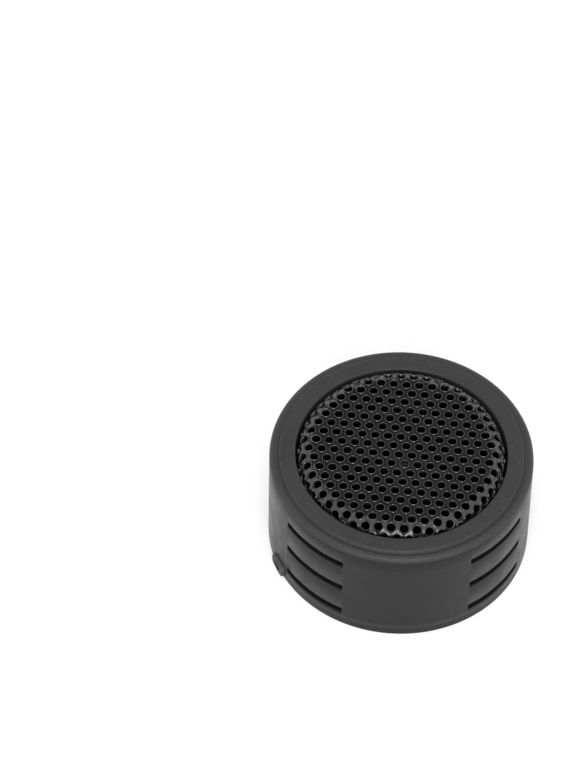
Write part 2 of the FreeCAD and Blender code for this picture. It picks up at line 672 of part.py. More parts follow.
def make_terminals():
    """Paper-phenolic board under the faceplate, with a riveted solder tag for each lead."""
    board = new_body("terminal_board")
    far = "board_near + board_thick"
    face = new_sketch(board, "section", shift=(0, 0, "0 - (%s)" % far))
    rectangle(face, "0 - board_half_width", "board_half_width", "board_bottom", "flange_bottom")
    for side in (-1, 1):
        circle(face, "%d * tag_offset" % side, "rivet_height", "rivet_radius")
    add_feature(board, "Pad", "board", face, Length_expression="board_thick")

    for side, label in ((-1, "terminal_positive"), (1, "terminal_negative")):
        tag = new_body(label)
        middle = "%d * tag_offset" % side
        blank = new_sketch(tag, "section", shift=(0, 0, "0 - (%s + tag_thick)" % far))
        outline(blank, [
            (middle + " - tag_half_width * 0.6", "tag_bottom"), (middle + " + tag_half_width * 0.6", "tag_bottom"),
            (middle + " + tag_half_width", "tag_bottom + 0.6"), (middle + " + tag_half_width", "tag_top"),
            (middle + " - tag_half_width", "tag_top"), (middle + " - tag_half_width", "tag_bottom + 0.6"),
        ])
        circle(blank, middle, "rivet_height", "rivet_radius")
        circle(blank, middle, "tag_eye_height", "tag_eye")
        add_feature(tag, "Pad", "tag", blank, Length_expression="tag_thick")

    rivets = new_body("tag_rivets", several_solids=True)
    section = new_sketch(rivets, "section", role="XY_Plane", shift=("0 - tag_offset", 0, "rivet_height"))
    outline(section, [
        ("rivet_bore", "board_near - rivet_flange_thick"), ("rivet_flange", "board_near - rivet_flange_thick"),
        ("rivet_flange", "board_near"), ("rivet_radius", "board_near"),
        ("rivet_radius", far + " + tag_thick"), ("rivet_flange", far + " + tag_thick"),
        ("rivet_flange", far + " + tag_thick + rivet_flange_thick"),
        ("rivet_bore", far + " + tag_thick + rivet_flange_thick"),
    ])
    turned = revolve(rivets, section)
    pair = rivets.newObject("PartDesign::LinearPattern", "tag_rivets_pair")
    pair.Originals = [turned]
    pair.Direction = (origin_feature(rivets, "X_Axis"), [""])
    pair.setExpression("Length", linked("tag_offset * 2"))
    pair.Occurrences = 2
    rivets.Tip = pair


def make_coil_leads():
    """Braided leads from the former over the cup's rim to the rivets."""
    height = size("cup_rim + spacer_notch_depth / 2")
    behind_collar = size("collar_radius") - 0.7
    board = size("board_near - rivet_flange_thick")
    thick = size("lead_radius")
    for side, label in ((-1, "lead_out_positive"), (1, "lead_out_negative")):
        across = side * size("tag_offset")
        start = math.sqrt((size("former_outer") + 0.05) ** 2 - across ** 2)
        eyelet = across + side * (size("rivet_bore + rivet_flange") / 2)
        route = [
            Vector(across, start, height),
            Vector(across, behind_collar, height),
            Vector(across, behind_collar, size("rivet_height") + 1.2),
            Vector(eyelet, board - thick, size("rivet_height") + 0.3),
        ]
        keep_shape(label, tube_along(route, thick, size("lead_bend")))


def make_capacitor():
    """Bipolar capacitor in series with the dome, on a foam pad on the rear cover."""
    body = new_body("capacitor")
    half = "capacitor_half_length"
    full = "capacitor_radius"
    section = new_sketch(body, "section", role="XY_Plane",
                         shift=(0, "0 - capacitor_offset", "capacitor_height"))
    outline(section, [
        ("0 - " + half, "0"), ("0 - " + half, full + " - 0.2"), ("0.2 - " + half, full),
        ("1.3 - " + half, full), ("1.6 - " + half, full + " - 0.25"), ("1.9 - " + half, full),
        (half + " - 0.2", full), (half, full + " - 0.2"), (half, "0"),
    ])
    revolve(body, section, axis="H_Axis")

    leads = new_body("capacitor_leads", several_solids=True)
    pins = new_sketch(leads, "section", role="YZ_Plane",
                      shift=(0, 0, "0 - capacitor_half_length - capacitor_lead_length"))
    for side in (-1, 1):
        circle(pins, "0 - capacitor_offset + %d * capacitor_lead_spacing / 2" % side,
               "capacitor_height", "capacitor_lead_radius")
    add_feature(leads, "Pad", "pins", pins, Length_expression="capacitor_lead_length")

    pad = doc.addObject("Part::Box", "capacitor_pad")
    pad.setExpression("Length", linked("cradle_length"))
    pad.setExpression("Width", linked("cradle_width"))
    pad.setExpression("Height", linked("capacitor_height - capacitor_radius - housing_bottom"))
    pad.setExpression("Placement.Base.x", linked("0 - cradle_length / 2"))
    pad.setExpression("Placement.Base.y", linked("0 - capacitor_offset - cradle_width / 2"))
    pad.setExpression("Placement.Base.z", linked("housing_bottom"))
    NODES.append(pad)


def make_wires():
    """Insulated wires from the grommet to the capacitor and to the two solder tags."""
    thick = size("wire_radius")
    bend = size("wire_bend")
    gland = size("grommet_azimuth")
    gland_height = size("(grommet_low + grommet_high) / 2")
    gland_inside = size("grommet_inner")
    pin_end = -size("capacitor_half_length + capacitor_lead_length")
    pin_height = size("capacitor_height")
    near_pin = -size("capacitor_offset + capacitor_lead_spacing / 2")
    far_pin = -size("capacitor_offset - capacitor_lead_spacing / 2")
    tag_face = size("board_near + board_thick + tag_thick") + thick
    tag_low = size("tag_bottom")
    tag_side = size("tag_offset")

    keep_shape("supply_wire_positive", tube_along([
        round_the_can(gland_inside, gland, gland_height, -0.5),
        round_the_can(gland_inside - 3.2, gland, gland_height + 0.9, -0.5),
        Vector(-13.0, near_pin, pin_height),
        Vector(pin_end, near_pin, pin_height),
    ], thick, bend))

    keep_shape("tag_wire_positive", tube_along([
        Vector(pin_end, far_pin, pin_height),
        Vector(-12.5, far_pin, pin_height),
        round_the_can(15.6, 160.0, pin_height + 0.6),
        round_the_can(15.9, 125.0, tag_low - 2.4),
        Vector(-tag_side, tag_face, tag_low - 1.6),
        Vector(-tag_side, tag_face, tag_low + 1.3),
    ], thick, 1.2))

    way_round = [round_the_can(16.2, azimuth, 3.4 + 0.012 * (azimuth - 217.0))
                 for azimuth in range(217, 420, 29)]
    keep_shape("supply_wire_negative", tube_along([
        round_the_can(gland_inside, gland, gland_height, 0.5),
        round_the_can(gland_inside - 2.2, gland, gland_height + 0.7, 0.5),
    ] + way_round + [
        Vector(tag_side, tag_face, tag_low - 1.6),
        Vector(tag_side, tag_face, tag_low + 1.3),
    ], thick, bend))


# ----------------------------------------------------------------- assembly

make_housing()
make_front_bezel()
make_grille()
make_rear_cover()
disc("mounting_pad", "pad_radius", "0", "pad_depth")
make_cable_grommet()
make_cover_screws()
make_driver_gasket()
make_driver_faceplate()
make_driver_screws()
make_magnet_system()
make_diaphragm_spacer()
make_surround()
make_dome()
make_voice_coil()
make_terminals()
make_coil_leads()
make_capacitor()
make_wires()
doc.recompute()

for item in doc.Objects:
    if "Invalid" in item.State or "Error" in item.State:
        raise RuntimeError("%s is %s" % (item.Label, item.State))

os.makedirs("parts", exist_ok=True)
for node in NODES:
    if node.Shape.isNull() or not node.Shape.isValid():
        raise RuntimeError(node.Label + " has no valid shape")
    node.Shape.exportStep("parts/%s.step" % node.Label)
    print("%-22s %8.2f mm3, %d solid(s)" % (node.Label, node.Shape.Volume, len(node.Shape.Solids)))
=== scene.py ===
import math

import bmesh
import bpy
from mathutils import Matrix, Vector


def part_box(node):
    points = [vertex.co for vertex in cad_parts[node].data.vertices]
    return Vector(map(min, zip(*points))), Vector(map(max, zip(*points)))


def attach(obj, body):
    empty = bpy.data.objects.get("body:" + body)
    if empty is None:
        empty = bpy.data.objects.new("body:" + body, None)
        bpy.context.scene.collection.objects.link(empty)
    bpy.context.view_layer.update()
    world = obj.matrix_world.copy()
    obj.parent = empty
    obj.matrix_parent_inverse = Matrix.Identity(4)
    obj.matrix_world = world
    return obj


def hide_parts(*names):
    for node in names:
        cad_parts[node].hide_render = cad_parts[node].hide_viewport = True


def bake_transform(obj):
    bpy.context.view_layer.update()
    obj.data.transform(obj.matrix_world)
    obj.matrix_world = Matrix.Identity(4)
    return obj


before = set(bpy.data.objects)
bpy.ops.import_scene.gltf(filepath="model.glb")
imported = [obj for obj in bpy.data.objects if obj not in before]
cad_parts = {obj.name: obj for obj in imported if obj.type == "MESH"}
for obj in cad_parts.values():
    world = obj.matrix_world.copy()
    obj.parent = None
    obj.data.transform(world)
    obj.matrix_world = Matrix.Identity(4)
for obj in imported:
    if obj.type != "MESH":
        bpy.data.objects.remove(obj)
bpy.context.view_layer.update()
MM = 0.001


# ---------------------------------------------------------------- rear cover
# A disc moulded in the same charcoal ABS as the drum, with a fine eroded texture. It closes the
# drum from below and is held by four screws; only its edge shows when the tweeter stands.

def add_node(tree, kind, inputs=None, **settings):
    """A node with its settings. Inputs are constants, or another node's output to be joined on."""
    node = tree.nodes.new(kind)
    for setting, value in settings.items():
        setattr(node, setting, value)
    for socket, value in (inputs or {}).items():
        if isinstance(value, bpy.types.NodeSocket):
            tree.links.new(value, node.inputs[socket])
        else:
            node.inputs[socket].default_value = value
    return node


class Finish:
    """A material mottled between two colours, with a drifting roughness and a fine grain.

    Sizes are in millimetres; shader holds constants for the shader's own sockets."""

    def __init__(self, name, dark, light, patch, smoothest, roughest, grain, depth, shader=None):
        self.material = bpy.data.materials.new(name)
        self.material.use_nodes = True
        self.tree = self.material.node_tree
        self.tree.nodes.clear()
        self.place = add_node(self.tree, "ShaderNodeTexCoord").outputs["Object"]
        drift = self.noise(patch, detail=4.0)
        self.colour = self.mix(drift, (*dark, 1.0), (*light, 1.0))
        fine = self.noise(grain, detail=3.0)
        self.rough = self.spread(self.noise(patch * 0.4, detail=5.0), smoothest, roughest)
        self.shader = add_node(self.tree, "ShaderNodeBsdfPrincipled", {
            "Base Color": self.colour, "Roughness": self.rough, **(shader or {})})
        self.relief = None
        self.emboss(fine, depth)
        add_node(self.tree, "ShaderNodeOutputMaterial", {"Surface": self.shader.outputs[0]})

    def noise(self, size, detail=2.0, stretch=None):
        place = self.place
        if stretch:
            place = add_node(self.tree, "ShaderNodeMapping", {"Vector": place, "Scale": stretch}).outputs[0]
        return add_node(self.tree, "ShaderNodeTexNoise", {
            "Vector": place, "Scale": 1.0 / (size * MM), "Detail": detail}).outputs["Fac"]

    def spread(self, value, low, high, least=0.3, most=0.7):
        """The value's usual swing, spread from low to high."""
        return add_node(self.tree, "ShaderNodeMapRange", {
            "Value": value, "From Min": least, "From Max": most, "To Min": low, "To Max": high}).outputs[0]

    def mix(self, amount, first, second):
        """Between two colours; 0, 6 and 7 are the colour mixer's amount and its two colours."""
        return add_node(self.tree, "ShaderNodeMix", {0: amount, 6: first, 7: second},
                        data_type="RGBA").outputs[2]

    def paint(self, amount, colour):
        """Lays a further colour over what is there."""
        self.colour = self.mix(amount, self.colour, (*colour, 1.0))
        self.tree.links.new(self.colour, self.shader.inputs["Base Color"])

    def emboss(self, height, depth):
        """Adds a relief of the given depth in mm to what is there."""
        bump = add_node(self.tree, "ShaderNodeBump", {"Height": height, "Distance": depth * MM})
        if self.relief:
            self.tree.links.new(self.relief, bump.inputs["Normal"])
        self.relief = bump.outputs[0]
        self.tree.links.new(self.relief, self.shader.inputs["Normal"])

    def specks(self, spacing, size, share):
        """Round specks: 1 inside a speck, 0 between them; share is how many places have one."""
        cells = add_node(self.tree, "ShaderNodeTexVoronoi",
                         {"Vector": self.place, "Scale": 1.0 / (spacing * MM)})
        near = self.spread(cells.outputs["Distance"], 1.0, 0.0, size / spacing * 0.5, size / spacing)
        lot = add_node(self.tree, "ShaderNodeSeparateColor", {0: cells.outputs["Color"]}).outputs[0]
        chosen = add_node(self.tree, "ShaderNodeMath", {0: lot, 1: share}, operation="LESS_THAN").outputs[0]
        return add_node(self.tree, "ShaderNodeMath", {0: near, 1: chosen}, operation="MULTIPLY").outputs[0]


def moulded_abs(name, tone, smoothest, roughest):
    """Charcoal ABS with the eroded texture of its mould, and dust in the texture's hollows."""
    finish = Finish(name, dark=(tone, tone, tone * 1.03), light=(tone * 1.4, tone * 1.4, tone * 1.44),
                    patch=9.0, smoothest=smoothest, roughest=roughest, grain=0.26, depth=0.036,
                    shader={"IOR": 1.5, "Specular IOR Level": 0.20})
    finish.emboss(finish.noise(0.7, detail=2.0), 0.018)
    dusty = tone * 3.2
    finish.paint(finish.spread(finish.noise(0.3, detail=2.0), 0.0, 0.34, 0.5, 0.75),
                 (dusty, dusty, dusty * 1.02))
    finish.paint(finish.specks(spacing=3.4, size=0.13, share=0.22), (0.11, 0.11, 0.108))
    return finish


# The drum's copy of the ABS is painted darker than the bezel's, as painted shade on its upright wall.
drum_abs = moulded_abs("drum_abs", tone=0.0048, smoothest=0.30, roughest=0.42)


def refinish(finish, *nodes):
    for node in nodes:
        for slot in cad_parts[node].material_slots:
            slot.material = finish.material


refinish(drum_abs, "rear_cover")


# ---------------------------------------------------------------- mounting pad
# A disc of black closed-cell foam tape in the cover's recess. It is die cut, so its edge is a
# little rounded by the knife, and its face is the skin of the foam.

def rounded(section, steps=6):
    """The outline of a section's corners; a corner's third number is the radius that rounds it."""
    outline = []
    for number, corner in enumerate(section):
        here = Vector(corner[:2])
        if len(corner) == 2:
            outline.append(here)
            continue
        back = (Vector(section[number - 1][:2]) - here).normalized()
        on = (Vector(section[(number + 1) % len(section)][:2]) - here).normalized()
        half = back.angle(on) / 2
        centre = here + (back + on).normalized() * corner[2] / math.sin(half)
        reach = corner[2] / math.tan(half)
        start, end = here + back * reach - centre, here + on * reach - centre
        first = math.atan2(start.y, start.x)
        sweep = (math.atan2(end.y, end.x) - first + math.pi) % (2 * math.pi) - math.pi
        for step in range(steps + 1):
            angle = first + sweep * step / steps
            outline.append(centre + corner[2] * Vector((math.cos(angle), math.sin(angle))))
    return outline


def turned(name, section, around=288, steps=6):
    """A mesh turned about the tweeter's axis from a closed section of (radius, height) in mm."""
    shape = bmesh.new()
    rows = []
    for radius, height in rounded(section, steps):
        count = around if radius > 1e-6 else 1
        rows.append([shape.verts.new((radius * MM * math.cos(2 * math.pi * turn / around),
                                      radius * MM * math.sin(2 * math.pi * turn / around),
                                      height * MM)) for turn in range(count)])
    for lower, upper in zip(rows, rows[1:] + rows[:1]):
        for turn in range(around):
            corners = [lower[turn % len(lower)], lower[(turn + 1) % len(lower)],
                       upper[(turn + 1) % len(upper)], upper[turn % len(upper)]]
            corners = list(dict.fromkeys(corners))
            if len(corners) > 2:
                shape.faces.new(corners)
    return meshed(name, shape)


def meshed(name, shape):
    """A plain mesh from a closed shape, with its faces turned outwards."""
    bmesh.ops.recalc_face_normals(shape, faces=shape.faces)
    mesh = bpy.data.meshes.new(name)
    shape.to_mesh(mesh)
    shape.free()
    return mesh


def show(name, mesh, finish, crease=32):
    """Puts a mesh in the scene as a piece, smooth but for edges sharper than crease degrees."""
    mesh.materials.clear()
    mesh.materials.append(finish.material)
    mesh.shade_smooth()
    mesh.set_sharp_from_angle(angle=math.radians(crease))
    piece = bpy.data.objects.new(name, mesh)
    bpy.context.scene.collection.objects.link(piece)
    return piece


foam = Finish("closed_cell_foam", dark=(0.012, 0.012, 0.013), light=(0.022, 0.022, 0.023), patch=4.0,
              smoothest=0.80, roughest=0.95, grain=0.35, depth=0.05)
foam.emboss(foam.specks(spacing=0.55, size=0.30, share=0.6), -0.05)

pad_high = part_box("mounting_pad")[1]
pad_radius, pad_depth = pad_high.x / MM, pad_high.z / MM
adhesive_pad = show("adhesive_pad", turned("adhesive_pad", [
    (0, 0), (pad_radius, 0, 0.12), (pad_radius, pad_depth), (0, pad_depth)]), foam)
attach(adhesive_pad, "can")
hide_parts("mounting_pad")


# ---------------------------------------------------------------- rear cover screws
# Four small pan-head self-tapping screws in black zinc, with a cross recess. They are driven by
# hand, so that each recess stopped at its own angle.

def settled(carrier):
    """The mesh of an object with its modifiers worked in; the object itself is taken away."""
    bpy.context.view_layer.update()
    ready = carrier.evaluated_get(bpy.context.evaluated_depsgraph_get())
    mesh = bpy.data.meshes.new_from_object(ready)
    bpy.data.objects.remove(carrier)
    return mesh


def carrier_of(mesh, name="carrier"):
    carrier = bpy.data.objects.new(name, mesh)
    bpy.context.scene.collection.objects.link(carrier)
    return carrier


def cut_away(mesh, cutter):
    """The mesh with the cutter's mesh taken out of it."""
    carrier, tool = carrier_of(mesh), carrier_of(cutter)
    boolean = carrier.modifiers.new("cut", "BOOLEAN")
    boolean.operation, boolean.solver, boolean.object = "DIFFERENCE", "EXACT", tool
    result = settled(carrier)
    bpy.data.objects.remove(tool)
    return result


def prism(name, low_outline, high_outline, low, high):
    """A prism, or a tapered one, between two outlines of as many (x, y) corners, all in mm."""
    shape = bmesh.new()
    rings = [[shape.verts.new((x * MM, y * MM, level * MM)) for x, y in outline]
             for outline, level in ((low_outline, low), (high_outline, high))]
    for number in range(len(low_outline)):
        following = (number + 1) % len(low_outline)
        shape.faces.new((rings[0][number], rings[0][following], rings[1][following], rings[1][number]))
    shape.faces.new(rings[0])
    shape.faces.new(rings[1])
    return meshed(name, shape)


def cross_outline(half_length, half_width):
    corner = [(half_width, half_width), (half_length, half_width), (half_length, -half_width)]
    return [Matrix.Rotation(-math.pi / 2 * quarter, 2) @ Vector(point)
            for quarter in range(4) for point in corner]


def screw_mesh(head, head_low, head_high, head_round, shank, tip):
    """One screw, upside down: its head below, its point above, with the cross cut in the head."""
    along = 1 if tip > head_high else -1
    pitch, crests = 0.8, int(abs(tip - head_high) / 0.8) - 1
    thread = []
    for crest in range(crests):
        foot = head_high + along * (0.6 + pitch * crest)
        thread += [(shank * 0.80, foot), (shank, foot + along * 0.28), (shank * 0.80, foot + along * 0.5)]
    blank = turned("screw", [
        (0, head_low), (head, head_low, head_round), (head, head_high), (shank * 0.8, head_high),
        *thread, (shank * 0.8, tip - along * 0.9), (0, tip)], around=36, steps=4)
    recess = head * 0.55
    return cut_away(blank, prism("cross", cross_outline(recess, head * 0.14),
                                 cross_outline(recess * 0.55, head * 0.10),
                                 head_low - along * 0.05, head_low + along * 0.55))


def new_tree(name, inputs):
    """A Geometry Nodes tree with a named input for each size. Returns it and its input sockets."""
    tree = bpy.data.node_groups.new(name, "GeometryNodeTree")
    tree.interface.new_socket("Geometry", in_out="OUTPUT", socket_type="NodeSocketGeometry")
    for label, kind in inputs.items():
        tree.interface.new_socket(label, in_out="INPUT", socket_type="NodeSocket" + kind)
    return tree, add_node(tree, "NodeGroupInput").outputs


def close_tree(tree, geometry, finish):
    """Ends a tree: instances made real, the finish put on, and the result sent out."""
    real = add_node(tree, "GeometryNodeRealizeInstances", {"Geometry": geometry}).outputs[0]
    joined = add_node(tree, "GeometryNodeMergeByDistance", {"Geometry": real, "Distance": 0.004 * MM})
    coated = add_node(tree, "GeometryNodeSetMaterial", {"Geometry": joined.outputs[0], "Material": finish})
    add_node(tree, "NodeGroupOutput", {0: coated.outputs[0]})


def grown(name, tree, **inputs):
    """The plain mesh that a tree makes from these inputs, which are named by their labels."""
    carrier = carrier_of(bpy.data.meshes.new(name), name + "_carrier")
    modifier = carrier.modifiers.new(name, "NODES")
    modifier.node_group = tree
    for socket in tree.interface.items_tree:
        key = socket.name.lower().replace(" ", "_")
        if socket.in_out == "INPUT":
            modifier[socket.identifier] = inputs[key]
    return settled(carrier)


screw_ring, given = new_tree("screw_ring", {
    "Screw": "Object", "Count": "Int", "Circle Radius": "Float", "Seed": "Int", "Finish": "Material"})
circle = add_node(screw_ring, "GeometryNodeMeshCircle",
                  {"Vertices": given["Count"], "Radius": given["Circle Radius"]})
one_screw = add_node(screw_ring, "GeometryNodeObjectInfo", {"Object": given["Screw"]})
stopped_at = add_node(screw_ring, "FunctionNodeRandomValue", {
    "Max": (0.0, 0.0, 2 * math.pi), "Seed": given["Seed"]}, data_type="FLOAT_VECTOR")
screws = add_node(screw_ring, "GeometryNodeInstanceOnPoints", {
    "Points": circle.outputs[0], "Instance": one_screw.outputs["Geometry"],
    "Rotation": stopped_at.outputs[0]})
close_tree(screw_ring, screws.outputs[0], given["Finish"])

black_zinc = Finish("black_zinc", dark=(0.030, 0.030, 0.032), light=(0.075, 0.073, 0.070), patch=1.2,
                    smoothest=0.28, roughest=0.45, grain=0.12, depth=0.006, shader={"Metallic": 1.0})
screw_circle = 19.6
cover_screw = carrier_of(screw_mesh(head=1.9, head_low=0.1, head_high=1.0, head_round=0.35,
                                    shank=0.88, tip=8.2), "cover_screw")
base_screws = show("base_screws", grown(
    "base_screws", screw_ring, screw=cover_screw, count=4, circle_radius=screw_circle * MM, seed=4,
    finish=black_zinc.material), black_zinc)
bpy.data.objects.remove(cover_screw)
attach(base_screws, "can")
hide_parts("cover_screws")


# ---------------------------------------------------------------- drum
# The housing is one ABS moulding: a wall 1.6 mm thick with four groups of three slots, a shelf
# that carries the driver, and four posts that take the cover's screws from below.

# Near-black painted shade for the drum's inner faces, shelf and posts, so the slots and the inside read dark.
inside_painted_shade = Finish("core_side_abs", dark=(0.002, 0.002, 0.002), light=(0.004, 0.004, 0.004), patch=6.0,
                   smoothest=0.60, roughest=0.75, grain=0.3, depth=0.02,
                   shader={"IOR": 1.5, "Specular IOR Level": 0.10})

wall_tree, given = new_tree("slotted_wall", {
    "Radius": "Float", "Bottom": "Float", "Top": "Float", "First Slot": "Float", "Slot Pitch": "Float",
    "Slot Height": "Float", "Slot Sweep": "Float", "Finish": "Material"})


def sums(tree, operation, *values):
    """One Math node; its inputs are constants or sockets."""
    return add_node(tree, "ShaderNodeMath", dict(enumerate(values)), operation=operation).outputs[0]


# A sheet of 4 quarters of columns and 7 bands of rows, rolled up into the wall. The middle 34 of
# a quarter's 96 columns carry the slots, and each odd band is a row of slots.
quarter_columns, before_slots, after_slots, bands = 96, 31, 65, 7
sheet_of_wall = add_node(wall_tree, "GeometryNodeMeshGrid", {
    "Size X": 4.0 * quarter_columns, "Size Y": float(bands),
    "Vertices X": 4 * quarter_columns + 1, "Vertices Y": bands + 1})
where = add_node(wall_tree, "ShaderNodeSeparateXYZ", {
    0: add_node(wall_tree, "GeometryNodeInputPosition").outputs[0]})
column = sums(wall_tree, "ADD", where.outputs[0], 2.0 * quarter_columns)
row = sums(wall_tree, "ADD", where.outputs[1], bands / 2.0)
quarter = sums(wall_tree, "FLOOR", sums(wall_tree, "DIVIDE", column, float(quarter_columns)))
within = sums(wall_tree, "MODULO", column, float(quarter_columns))

in_slot_columns = sums(wall_tree, "MULTIPLY",
                       sums(wall_tree, "GREATER_THAN", within, float(before_slots)),
                       sums(wall_tree, "LESS_THAN", within, float(after_slots)))
odd_band = sums(wall_tree, "MODULO", sums(wall_tree, "FLOOR", row), 2.0)
opened = add_node(wall_tree, "GeometryNodeDeleteGeometry", {
    "Geometry": sheet_of_wall.outputs[0], "Selection": sums(wall_tree, "MULTIPLY", in_slot_columns, odd_band)},
    domain="FACE")

plain_half = sums(wall_tree, "MULTIPLY", sums(wall_tree, "SUBTRACT", 90.0, given["Slot Sweep"]), 0.5)
degrees = sums(wall_tree, "MULTIPLY", quarter, 90.0)
for first, last, span in ((0, before_slots, plain_half), (before_slots, after_slots, given["Slot Sweep"]),
                          (after_slots, quarter_columns, plain_half)):
    stretch = add_node(wall_tree, "ShaderNodeMapRange", {
        "Value": within, "From Min": float(first), "From Max": float(last), "To Max": span})
    degrees = sums(wall_tree, "ADD", degrees, stretch.outputs[0])

level = sums(wall_tree, "FLOOR", sums(wall_tree, "MULTIPLY", sums(wall_tree, "SUBTRACT", row, 0.9), 0.5))
edge_side = sums(wall_tree, "SUBTRACT", sums(wall_tree, "MODULO", sums(
    wall_tree, "SUBTRACT", sums(wall_tree, "ROUND", row), 1.0), 2.0), 0.5)
slot_edge = sums(wall_tree, "ADD", sums(wall_tree, "MULTIPLY", edge_side, given["Slot Height"]),
                 sums(wall_tree, "MULTIPLY_ADD", level, given["Slot Pitch"], given["First Slot"]))
above_bottom = add_node(wall_tree, "GeometryNodeSwitch", {
    "Switch": sums(wall_tree, "GREATER_THAN", row, 0.5), "False": given["Bottom"], "True": slot_edge},
    input_type="FLOAT")
height = add_node(wall_tree, "GeometryNodeSwitch", {
    "Switch": sums(wall_tree, "GREATER_THAN", row, bands - 0.5), "False": above_bottom.outputs[0],
    "True": given["Top"]}, input_type="FLOAT")
angle = sums(wall_tree, "RADIANS", degrees)
rolled = add_node(wall_tree, "ShaderNodeCombineXYZ", {
    0: sums(wall_tree, "MULTIPLY", sums(wall_tree, "COSINE", angle), given["Radius"]),
    1: sums(wall_tree, "MULTIPLY", sums(wall_tree, "SINE", angle), given["Radius"]), 2: height.outputs[0]})
wall_sheet = add_node(wall_tree, "GeometryNodeSetPosition",
                      {"Geometry": opened.outputs[0], "Position": rolled.outputs[0]})
close_tree(wall_tree, wall_sheet.outputs[0], given["Finish"])

wall_low, wall_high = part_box("housing")
drum_radius, wall_thick = wall_high.x / MM, 1.6
drum_bottom, drum_top = wall_low.z / MM, wall_high.z / MM
wall = carrier_of(grown(
    "drum_wall", wall_tree, radius=drum_radius * MM, bottom=drum_bottom * MM, top=drum_top * MM,
    first_slot=3.90 * MM, slot_pitch=6.97 * MM, slot_height=1.44 * MM, slot_sweep=32.6,
    finish=drum_abs.material))
thicken = wall.modifiers.new("thickness", "SOLIDIFY")
thicken.thickness, thicken.offset, thicken.use_even_offset = wall_thick * MM, -1.0, True
wall_mesh = settled(wall)

# The notch over the cable bush, and then every edge broken as the mould leaves it.
bush_azimuth, notch_half, notch_top = math.radians(201.5), 2.3, 3.1
notch_near, notch_far = 20.0, 26.0
notch_outline = [(notch_near, -notch_half), (notch_far, -notch_half),
                 (notch_far, notch_half), (notch_near, notch_half)]
notch = prism("notch", notch_outline, notch_outline, drum_bottom - 1, notch_top)
notch.transform(Matrix.Rotation(bush_azimuth, 4, "Z"))
wall = carrier_of(cut_away(wall_mesh, notch))
breaking = wall.modifiers.new("broken_edges", "BEVEL")
breaking.width, breaking.segments, breaking.limit_method = 0.06 * MM, 2, "ANGLE"
breaking.angle_limit = math.radians(40)
drum_wall = show("drum_wall", settled(wall), drum_abs, crease=50)

# Faces further in than the outer skin are painted near black as painted shade, which darkens the slots and the
# drum's inside.
painted_shade_depth = 0.12
drum_wall.data.materials.append(inside_painted_shade.material)
for face in drum_wall.data.polygons:
    face.material_index = int(face.center.xy.length < (drum_radius - painted_shade_depth) * MM)
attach(drum_wall, "can")
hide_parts("housing")

shelf_low, shelf_top, shelf_opening = 14.6, 16.4, 17.6
inner_wall = drum_radius - wall_thick
# The shelf is painted near black too: painted shade inside the drum.
drum_shelf = show("drum_shelf", turned("drum_shelf", [
    (shelf_opening, shelf_low, 0.3), (inner_wall + 0.05, shelf_low), (inner_wall + 0.05, shelf_top),
    (shelf_opening, shelf_top, 0.3)]), inside_painted_shade)
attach(drum_shelf, "can")
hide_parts("housing")

post_near, post_half, post_corner, pilot = 17.75, 2.0, 0.8, 0.9
in_the_wall = inner_wall + 0.05
post_outline = [(x - screw_circle, y) for x, y in (
    (post_near, -post_half + post_corner), (post_near + post_corner, -post_half),
    (in_the_wall, -post_half), (in_the_wall, post_half),
    (post_near + post_corner, post_half), (post_near, post_half - post_corner))]
post_blank = prism("post", post_outline, post_outline, drum_bottom, shelf_low + 0.02)
pilot_sides, pilot_end = 24, 12.5
pilot_outline = [(pilot * math.cos(math.radians(side * 360 / pilot_sides)),
                  pilot * math.sin(math.radians(side * 360 / pilot_sides))) for side in range(pilot_sides)]
pilot_hole = prism("pilot", pilot_outline, pilot_outline, drum_bottom - 1, pilot_end)
one_post = carrier_of(cut_away(post_blank, pilot_hole), "one_post")

post_tree, given = new_tree("post_ring", {
    "Post": "Object", "Count": "Int", "Circle Radius": "Float", "Finish": "Material"})
circle = add_node(post_tree, "GeometryNodeMeshCircle",
                  {"Vertices": given["Count"], "Radius": given["Circle Radius"]})
single = add_node(post_tree, "GeometryNodeObjectInfo", {"Object": given["Post"]})
facing = sums(post_tree, "DIVIDE", sums(post_tree, "MULTIPLY", add_node(
    post_tree, "GeometryNodeInputIndex").outputs[0], 2 * math.pi), given["Count"])
posts = add_node(post_tree, "GeometryNodeInstanceOnPoints", {
    "Points": circle.outputs[0], "Instance": single.outputs["Geometry"],
    "Rotation": add_node(post_tree, "ShaderNodeCombineXYZ", {2: facing}).outputs[0]})
close_tree(post_tree, posts.outputs[0], given["Finish"])
# The posts are painted near black too: painted shade inside the drum.
drum_posts = show("drum_posts", grown(
    "drum_posts", post_tree, post=one_post, count=4, circle_radius=screw_circle * MM,
    finish=inside_painted_shade.material), inside_painted_shade)
bpy.data.objects.remove(one_post)
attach(drum_posts, "can")
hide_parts("housing")


# ---------------------------------------------------------------- cable bush
# A small block of soft black rubber, clamped in the notch between drum and cover. The cable
# leaves through its bore; its face stands half a millimetre out of the wall, with a pinched lip.

soft_rubber = Finish("soft_rubber", dark=(0.016, 0.016, 0.0165), light=(0.036, 0.036, 0.037), patch=0.9,
                     smoothest=0.62, roughest=0.85, grain=0.2, depth=0.03)
bush_low, bush_high, bush_half, bush_bore = 0.3, 3.0, 2.2, 1.0
bush_middle, bush_points = (bush_low + bush_high) / 2, 48


def bush_ring(shape, outward, shrink, bore=False):
    """One ring of the bush's section at a distance from the axis, drawn in by shrink."""
    ring = []
    for step in range(bush_points):
        angle = 2 * math.pi * (step + 0.5) / bush_points
        if bore:
            across, up = bush_bore * math.cos(angle), bush_bore * math.sin(angle)
        else:
            half_wide, half_high = bush_half - shrink, (bush_high - bush_low) / 2 - shrink
            across = half_wide * math.copysign(abs(math.cos(angle)) ** 0.5, math.cos(angle))
            up = half_high * math.copysign(abs(math.sin(angle)) ** 0.5, math.sin(angle))
        ring.append(shape.verts.new((outward * MM, across * MM, (bush_middle + up) * MM)))
    return ring


